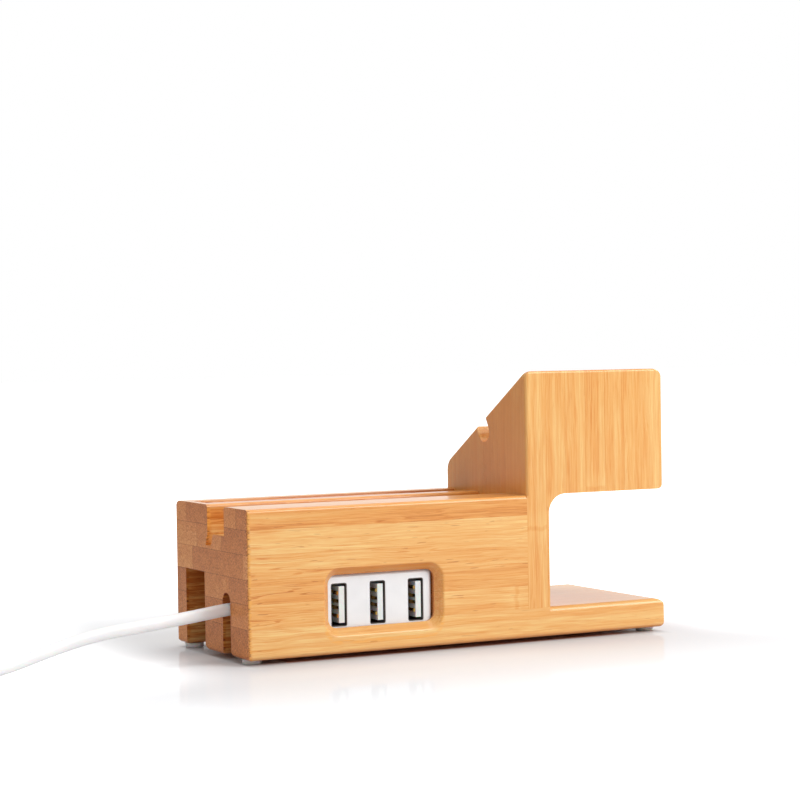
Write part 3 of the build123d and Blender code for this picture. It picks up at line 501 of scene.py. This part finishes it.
def makePlain(name, ownLooks):
    # a colour with a little cloudiness, a fine texture and a bump
    looks = usual | ownLooks
    material, shader, start = newMaterial(name)
    place = start.node("ShaderNodeMapping", None, {"Vector": objectPlace(start), "Scale": looks["stretch"]})
    clouds = noise(start, place, looks["cloud"], 2)
    texture = noise(start, place, looks["pitch"], 3, 0.6)
    colour = looks["colour"]
    dark = tuple(c * looks["dark"] for c in colour)
    mixed = (clouds * looks["cloudShare"] + texture * looks["textureShare"]).smooth(*looks["shade"])
    plug(mixColours(start, mixed, (*dark, 1), (*colour, 1)), shader, "Base Color")
    plug(looks["roughness"] + (texture - 0.5) * looks["spread"], shader, "Roughness")
    plug(bump(start, texture, looks["depth"], looks["bumpStrength"]), shader, "Normal")
    shader.inputs["Metallic"].default_value = looks["metal"]
    shader.inputs["Coat Weight"].default_value = looks["coat"]
    if looks["soft"] > 0:
        shader.inputs["Subsurface Weight"].default_value = looks["soft"]
        shader.inputs["Subsurface Scale"].default_value = looks["softReach"]
    return material


tapeLooks = {
    "thread": 0.9, "depth": 0.00008, "weaveShare": 0.6, "fuzzScale": 3.0, "fuzzShare": 0.4,
    "colour": (0.045, 0.045, 0.052), "dark": (0.014, 0.014, 0.017), "roughness": 0.8, "spread": 0.2,
}


def makeTape(name, looks):
    # a plain weave: threads over and under each other
    material, shader, start = newMaterial(name)
    place = objectPlace(start).axes()
    turns = 2 * math.pi / looks["thread"]
    weave = (place[0] * turns).wave() * ((place[1] + place[2]) * turns).wave() * 0.5 + 0.5
    fuzz = noise(start, objectPlace(start), looks["fuzzScale"], 3)
    mixed = weave * looks["weaveShare"] + fuzz * looks["fuzzShare"]
    plug(mixColours(start, mixed, (*looks["dark"], 1), (*looks["colour"], 1)), shader, "Base Color")
    plug(looks["roughness"] + (fuzz - 0.5) * looks["spread"], shader, "Roughness")
    plug(bump(start, weave, looks["depth"]), shader, "Normal")
    return material


finishes = {name: makeBamboo(name, looks) for name, looks in bambooLooks.items()}
finishes |= {name: makePlain(name, looks) for name, looks in plainLooks.items()}
finishes["tieFabric"] = makeTape("tieFabric", tapeLooks)
print("finishes made:", len(finishes))

nodeFinishes = {
    "bambooBoard": ["base_board", "hub_cover_plate"],
    "bambooBlock": [
        "block_layer_1", "block_layer_2", "block_layer_3", "block_layer_4", "block_top_near", "block_top_far",
    ],
    "bambooStand": ["watch_stand"],
    "dowelWood": ["dowels"],
    "screwSteel": ["stand_screws", "cover_screws", "hub_screws"],
    "hubPlastic": ["hub_front_shell", "hub_rear_shell"],
    "circuitLaminate": ["circuit_board"],
    "chipPlastic": ["controller_chip", "inductor"],
    "capacitorCan": ["capacitors"],
    "portMetal": ["port_shell_1", "port_shell_2", "port_shell_3", "plug_shell"],
    "portPlastic": ["port_insulator_1", "port_insulator_2", "port_insulator_3", "plug_insert"],
    "contactMetal": ["port_contacts_1", "port_contacts_2", "port_contacts_3", "plug_contacts"],
    "wireSleeve": ["supply_wires"],
    "cordSleeve": ["strain_relief"],
    "plugPlastic": ["plug_body"],
}
for finish, names in nodeFinishes.items():
    for name in names:
        nodes[name].data.materials.clear()
        nodes[name].data.materials.append(finishes[finish])
print("frame nodes dressed")


def newObject(name, data):
    made = bpy.data.objects.new(name, data)
    bpy.context.scene.collection.objects.link(made)
    return made


def meshData(mesh, name):
    data = bpy.data.meshes.new(name)
    mesh.to_mesh(data)
    mesh.free()
    return data


def addPiece(mesh, name, finish, replaced):
    bmesh.ops.recalc_face_normals(mesh, faces=mesh.faces)
    data = meshData(mesh, name)
    data.shade_smooth()
    piece = newObject(name, data)
    data.materials.append(finishes[finish])
    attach(piece, "root")
    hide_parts(replaced)
    return piece


# Silicone pads: soft discs, a little narrower at the floor
padLooks = {
    "count": 4, "taper": 0.95, "sides": 40, "footRound": 0.40 * mm, "topRound": 0.15 * mm, "steps": 4,
    "rimShare": 0.49,
}


def makePad(number, looks):
    low, high = (Vector(c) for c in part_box(f"pad_{number}"))
    radius, height = (high.x - low.x) / 2, high.z - low.z
    mesh = bmesh.new()
    bmesh.ops.create_cone(
        mesh, cap_ends=True, segments=looks["sides"], radius1=radius * looks["taper"], radius2=radius,
        depth=height,
    )
    for side, reach in ((-1, looks["footRound"]), (1, looks["topRound"])):
        rim = [e for e in mesh.edges if all(v.co.z * side > height * looks["rimShare"] for v in e.verts)]
        bmesh.ops.bevel(
            mesh, geom=rim, offset=reach, affect="EDGES", segments=looks["steps"], profile=0.5, material=-1
        )
    bmesh.ops.translate(mesh, verts=mesh.verts, vec=(low + high) / 2)
    return addPiece(mesh, f"siliconePad{number}", "padSilicone", f"pad_{number}")


for number in range(1, padLooks["count"] + 1):
    makePad(number, padLooks)
print("pads made")

# Tie: a tape wound round the coil's turns, with its end lapped over on top
tieLooks = {
    "tape": 0.55 * mm, "round": 1.2 * mm, "steps": 4, "threads": 6, "lapShare": 0.62, "lapInset": 0.25 * mm,
    "lapRound": 0.22 * mm, "lapSteps": 3,
}


def makeTie(looks):
    low, high = (Vector(c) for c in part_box("cord_tie"))
    width = high.x - low.x
    mesh = bmesh.new()
    corners = [
        mesh.verts.new((low.x, y, z))
        for y, z in ((low.y, low.z), (high.y, low.z), (high.y, high.z), (low.y, high.z))
    ]
    for a, b in zip(corners, corners[1:] + corners[:1]):
        mesh.edges.new((a, b))
    bmesh.ops.bevel(
        mesh, geom=corners, offset=looks["round"], affect="VERTICES", segments=looks["steps"], profile=0.5,
        material=-1,
    )
    side = mesh.edges[:]
    for _ in range(looks["threads"]):
        made = bmesh.ops.extrude_edge_only(mesh, edges=side)["geom"]
        side = [g for g in made if isinstance(g, bmesh.types.BMEdge)]
        moved = [g for g in made if isinstance(g, bmesh.types.BMVert)]
        bmesh.ops.translate(mesh, verts=moved, vec=(width / looks["threads"], 0, 0))
    bmesh.ops.recalc_face_normals(mesh, faces=mesh.faces)
    bmesh.ops.solidify(mesh, geom=mesh.faces[:], thickness=looks["tape"])
    # the lapped end lies on the tape's top
    lap = bmesh.ops.create_cube(mesh, size=1)["verts"]
    size = Vector((width - 2 * looks["lapInset"], (high.y - low.y) * looks["lapShare"], looks["tape"]))
    bmesh.ops.scale(mesh, vec=size, verts=lap)
    middle = Vector(((low.x + high.x) / 2, low.y + looks["round"] + size.y / 2, high.z + size.z / 2))
    bmesh.ops.translate(mesh, verts=lap, vec=middle)
    rims = list({e for v in lap for e in v.link_edges})
    bmesh.ops.bevel(
        mesh, geom=rims, offset=looks["lapRound"], affect="EDGES", segments=looks["lapSteps"], profile=0.5,
        material=-1,
    )
    return addPiece(mesh, "cordTie", "tieFabric", "cord_tie")


cordTie = makeTie(tieLooks)
print("tie made")


# Supply cord: the free route, then the coil in two layers, then the end with the plug. The drawn line is
# smooth, of "order" 3, with so many steps to a point
cord = {
    "diameter": 3.8 * mm,
    "route": [
        (-0.0627, -0.01165, 0.0159),
        (-0.0707, -0.01165, 0.0159),
        (-0.0857, -0.01145, 0.0139),
        (-0.1007, -0.01175, 0.0123),
        (-0.1147, -0.01155, 0.0109),
        (-0.1287, -0.01325, 0.0079),
        (-0.1417, -0.01645, 0.0046),
        (-0.1537, -0.01945, 0.00275),
        (-0.1647, -0.02065, 0.0026),
        (-0.1727, -0.02065, 0.0026),
    ],
    "meanRadius": 22.8 * mm,
    "layerTurns": 3.25,
    "climbTurns": 0.5,
    "turnPitch": 5.2 * mm,
    "layerPitch": 4.45 * mm,
    "stepsPerTurn": 16,
    "tail": [(-0.008, 0, 0), (-0.018, 0.0014, -0.00295), (-0.026, 0.0014, -0.00295)],
    "length": 1.123,
    "order": 3,
    "stepsPerPoint": 6,
    "sideSteps": 5,
}


def coilPoints(looks):
    # spirals in, climbs a layer and spirals out again, clockwise from above
    turns, halfSpan = looks["layerTurns"], looks["layerTurns"] * looks["turnPitch"] / 2
    inner, outer = looks["meanRadius"] - halfSpan, looks["meanRadius"] + halfSpan
    centre = Vector(looks["route"][-1]) + Vector((-looks["diameter"], outer, 0))
    steps = looks["stepsPerTurn"]
    # the smooth line runs inside its points by this share
    widen = 1 / (0.75 + 0.25 * math.cos(2 * math.pi / steps))
    total = 2 * turns + looks["climbTurns"]
    points = []
    for n in range(round(total * steps) + 1):
        turned = n / steps
        wound = min(turned, total - turned, turns) / turns
        climbed = min(max((turned - turns) / looks["climbTurns"], 0), 1)
        radius = (outer + (inner - outer) * wound) * widen
        angle = -math.pi / 2 - turned * 2 * math.pi
        height = looks["layerPitch"] * climbed * climbed * (3 - 2 * climbed)
        points.append(centre + Vector((math.cos(angle) * radius, math.sin(angle) * radius, height)))
    return points


def smoothCurve(name, points, looks):
    curve = bpy.data.curves.new(name, "CURVE")
    curve.dimensions = "3D"
    spline = curve.splines.new("NURBS")
    spline.points.add(len(points) - 1)
    for point, place in zip(spline.points, points):
        point.co = (*place, 1)
    spline.order_u = looks["order"]
    spline.use_endpoint_u = True
    spline.resolution_u = looks["stepsPerPoint"]
    curve.bevel_depth = looks["diameter"] / 2
    curve.bevel_resolution = looks["sideSteps"]
    curve.use_fill_caps = True
    return newObject(name, curve)


coiled = coilPoints(cord)
tail = [coiled[-1] + Vector((-cord["diameter"], 0, 0)) + Vector(step) for step in cord["tail"]]
supplyCord = smoothCurve("supplyCord", [*map(Vector, cord["route"]), *coiled[1:], *tail], cord)
supplyCord.data.materials.append(finishes["cordSleeve"])
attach(supplyCord, "root")
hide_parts("power_cord", "power_cord_coil", "power_cord_tail")
print("cord laid")

# Floor, light and camera
floorLooks = {
    # the colour after the paper's own is a brown painted shadow for the paper beneath the board, inset from
    # its footprint
    "size": 6.0, "colour": (0.72, 0.725, 0.74), "under": (0.66, 0.36, 0.26), "inset": (0.012, 0.001),
    "shadowBlend": 0.002, "footprint": (0.073, 0.028), "squeeze": 4.5, "front": (-0.07, -0.025),
    "reach": 0.15, "mirror": 0.20, "mirrorRoughness": 0.07,
    "liftNear": 0.06, "nearReach": 0.006, "liftFar": 0.95, "farFrom": 0.012, "white": 0.26,
}


def makeFloor(looks):
    mesh = bmesh.new()
    bmesh.ops.create_grid(mesh, x_segments=1, y_segments=1, size=looks["size"])
    data = meshData(mesh, "floor")
    floor = newObject("floor", data)
    material = bpy.data.materials.new("floorPaper")
    material.use_nodes = True
    tree = material.node_tree
    tree.nodes.remove(tree.nodes["Principled BSDF"])
    start = Wire(tree)
    # how far a place on the floor is from the object
    place = start.node("ShaderNodeTexCoord", out=3).axes()
    outside = [abs(v) - half for v, half in zip(place, looks["footprint"])]
    beyond = [v.atLeast(0) for v in outside]
    close = (beyond[0] ** 2 + beyond[1] ** 2) ** 0.5
    # beside and behind the object the floor whitens sooner than in front of it
    squeeze = place[1].smooth(*looks["front"]) * (looks["squeeze"] - 1) + 1
    away = ((beyond[0] * squeeze) ** 2 + beyond[1] ** 2) ** 0.5
    # a painted shadow: inside the board's footprint, a little inset, the paper is tinted brown
    inside = [v + inset for v, inset in zip(outside, looks["inset"])]
    inside = inside[0].atLeast(inside[1])
    outer = inside.smooth(-looks["shadowBlend"], 0)
    tint = mixColours(start, outer, (*looks["under"], 1), (*looks["colour"], 1))
    paper = start.node("ShaderNodeBsdfDiffuse", None, {"Color": tint})
    gloss = start.node("ShaderNodeBsdfAnisotropic", None, {"Roughness": looks["mirrorRoughness"]})
    mirror = (1 - close.smooth(0, looks["reach"])) * looks["mirror"]
    lit = start.node("ShaderNodeMixShader", None, {0: mirror, 1: paper, 2: gloss})
    # what the camera sees grows to white away from the object
    seen = start.node("ShaderNodeLightPath", out=0)
    lift = away.smooth(0, looks["nearReach"]) * looks["liftNear"]
    lift = lift + away.smooth(looks["farFrom"], looks["white"]) * (looks["liftFar"] - looks["liftNear"])
    glow = start.node("ShaderNodeEmission", None, {"Color": white, "Strength": seen * lift})
    both = start.node("ShaderNodeAddShader", None, {0: lit, 1: glow})
    tree.links.new(both.socket, tree.nodes["Material Output"].inputs[0])
    data.materials.append(material)


makeFloor(floorLooks)

# The world is white where it is seen, dimmer as light, and bright behind the object, to gloss its tops
worldLooks = {
    "light": 0.50, "seen": 1.0, "gloss": 0.20, "back": (0.46, 0.887, 0.05), "backFrom": (0.70, 0.95),
}


def makeWorld(looks):
    world = bpy.data.worlds.new("studio")
    bpy.context.scene.world = world
    world.use_nodes = True
    start = Wire(world.node_tree)
    seen, glossy, through = (start.node("ShaderNodeLightPath", out=n) for n in (0, 3, 6))
    seen = seen.atLeast(through)
    way = start.node("ShaderNodeTexCoord")
    along = start.node("ShaderNodeVectorMath", {"operation": "DOT_PRODUCT"}, {0: way, 1: looks["back"]}, 1)
    inGloss = looks["gloss"] + along.smooth(*looks["backFrom"]) * (looks["seen"] - looks["gloss"])
    strength = looks["light"] + glossy * (inGloss - looks["light"])
    strength = strength + seen * (looks["seen"] - strength)
    background = world.node_tree.nodes["Background"]
    background.inputs["Color"].default_value = white
    plug(strength, background, "Strength")


makeWorld(worldLooks)

lampTarget = Vector((0, 0, 0.03))
lamps = {
    "frontLamp": {"place": (0.50, -0.70, 0.58), "size": 0.6, "power": 6.1},
    "topLamp": {"place": (0.12, 0.10, 1.3), "size": 1.0, "power": 8.0},
}
for name, looks in lamps.items():
    light = bpy.data.lights.new(name, "AREA")
    light.shape = "DISK"
    light.size = looks["size"]
    light.energy = looks["power"]
    lamp = newObject(name, light)
    lamp.location = looks["place"]
    lamp.rotation_euler = (lampTarget - lamp.location).to_track_quat("-Z", "Y").to_euler()

cameraLooks = {
    "place": (-0.3351, -0.62995, 0.09356), "yaw": 27.4625, "down": 1.3532, "roll": -0.9040, "lens": 100.3,
    "sensor": 36,
}


def makeCamera(looks):
    yaw, down, roll = (math.radians(looks[k]) for k in ("yaw", "down", "roll"))
    ahead = Vector((math.sin(yaw) * math.cos(down), math.cos(yaw) * math.cos(down), -math.sin(down)))
    level = Vector((math.cos(yaw), -math.sin(yaw), 0))
    upright = level.cross(ahead)
    right = level * math.cos(roll) + upright * math.sin(roll)
    above = upright * math.cos(roll) - level * math.sin(roll)
    data = bpy.data.cameras.new("camera")
    data.lens = looks["lens"]
    data.sensor_width = looks["sensor"]
    camera = newObject("camera", data)
    turned = Matrix((right, above, -ahead)).transposed().to_4x4()
    camera.matrix_world = Matrix.Translation(looks["place"]) @ turned
    return camera


bpy.context.scene.camera = makeCamera(cameraLooks)
bpy.context.scene.view_settings.view_transform = "Standard"
print("stage set")
